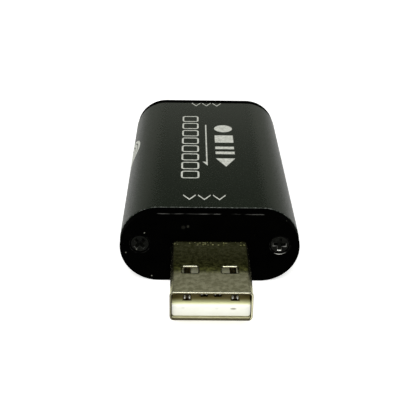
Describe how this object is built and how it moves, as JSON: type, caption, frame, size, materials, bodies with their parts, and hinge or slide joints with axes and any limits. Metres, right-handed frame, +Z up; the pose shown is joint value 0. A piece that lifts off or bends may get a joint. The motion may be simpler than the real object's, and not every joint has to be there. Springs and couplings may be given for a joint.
{
  "type": "video capture box",
  "caption": "Small round-sided box that turns a video signal into computer data: flat data plug at one end, video socket at the other, screwed end plates.",
  "frame": {"origin": "under the middle of the whole length, on the plane of the tube's flat underside", "axes": "+Y from the plug to the socket, +Z up, +X to the right as seen from the plug's end"},
  "size_m": [0.0286, 0.064, 0.0124],
  "materials": {
    "anodised_black": "satin black anodised",
    "plate_black": "gloss black",
    "screw_black": "blackened steel",
    "board_green": "solder mask",
    "plug_nickel": "satin nickel",
    "tongue_white": "moulded",
    "contact_gilt": "gilt",
    "socket_nickel": "bright nickel",
    "socket_black": "moulded",
    "chip_black": "moulded",
    "lead_tin": "tinned",
    "ceramic_tan": "fired ceramic"
  },
  "bodies": {
    "box": {"housing_tube": "anodised_black", "plug_end_plate": "plate_black", "socket_end_plate": "plate_black", "end_plate_screws": "screw_black", "circuit_board": "board_green", "plug_shell": "plug_nickel", "plug_insulator": "tongue_white", "plug_power_contact": "contact_gilt", "plug_data_minus_contact": "contact_gilt", "plug_data_plus_contact": "contact_gilt", "plug_ground_contact": "contact_gilt", "socket_shell": "socket_nickel", "socket_insulator": "socket_black", "socket_upper_contacts": "contact_gilt", "socket_lower_contacts": "contact_gilt", "capture_chip": "chip_black", "capture_chip_leads": "lead_tin", "memory_chip": "chip_black", "memory_chip_leads": "lead_tin", "voltage_regulator": "chip_black", "voltage_regulator_leads": "lead_tin", "clock_crystal": "lead_tin", "ceramic_capacitors": "ceramic_tan", "chip_resistors": "chip_black", "ferrite_beads": "chip_black", "surge_protectors": "chip_black", "solder_joints": "lead_tin"},
    "spring_upper_left": {"spring_upper_left": "socket_nickel"},
    "spring_upper_right": {"spring_upper_right": "socket_nickel"},
    "spring_lower_left": {"spring_lower_left": "socket_nickel"},
    "spring_lower_right": {"spring_lower_right": "socket_nickel"}
  },
  "joints": [
    {"name": "spring_upper_left_flex", "type": "hinge", "parent": "box", "child": "spring_upper_left", "pos_m": [-0.003, 0.0296, 0.0089], "axis": [-1, 0, 0], "range_deg": [0, 4.5], "stiffness_Nm_per_rad": 0.16},
    {"name": "spring_upper_right_flex", "type": "hinge", "parent": "box", "child": "spring_upper_right", "pos_m": [0.003, 0.0296, 0.0089], "axis": [-1, 0, 0], "range_deg": [0, 4.5], "stiffness_Nm_per_rad": 0.16},
    {"name": "spring_lower_left_flex", "type": "hinge", "parent": "box", "child": "spring_lower_left", "pos_m": [-0.003, 0.0296, 0.00405], "axis": [1, 0, 0], "range_deg": [0, 4.3], "stiffness_Nm_per_rad": 0.16},
    {"name": "spring_lower_right_flex", "type": "hinge", "parent": "box", "child": "spring_lower_right", "pos_m": [0.003, 0.0296, 0.00405], "axis": [1, 0, 0], "range_deg": [0, 4.3], "stiffness_Nm_per_rad": 0.16}
  ]
}
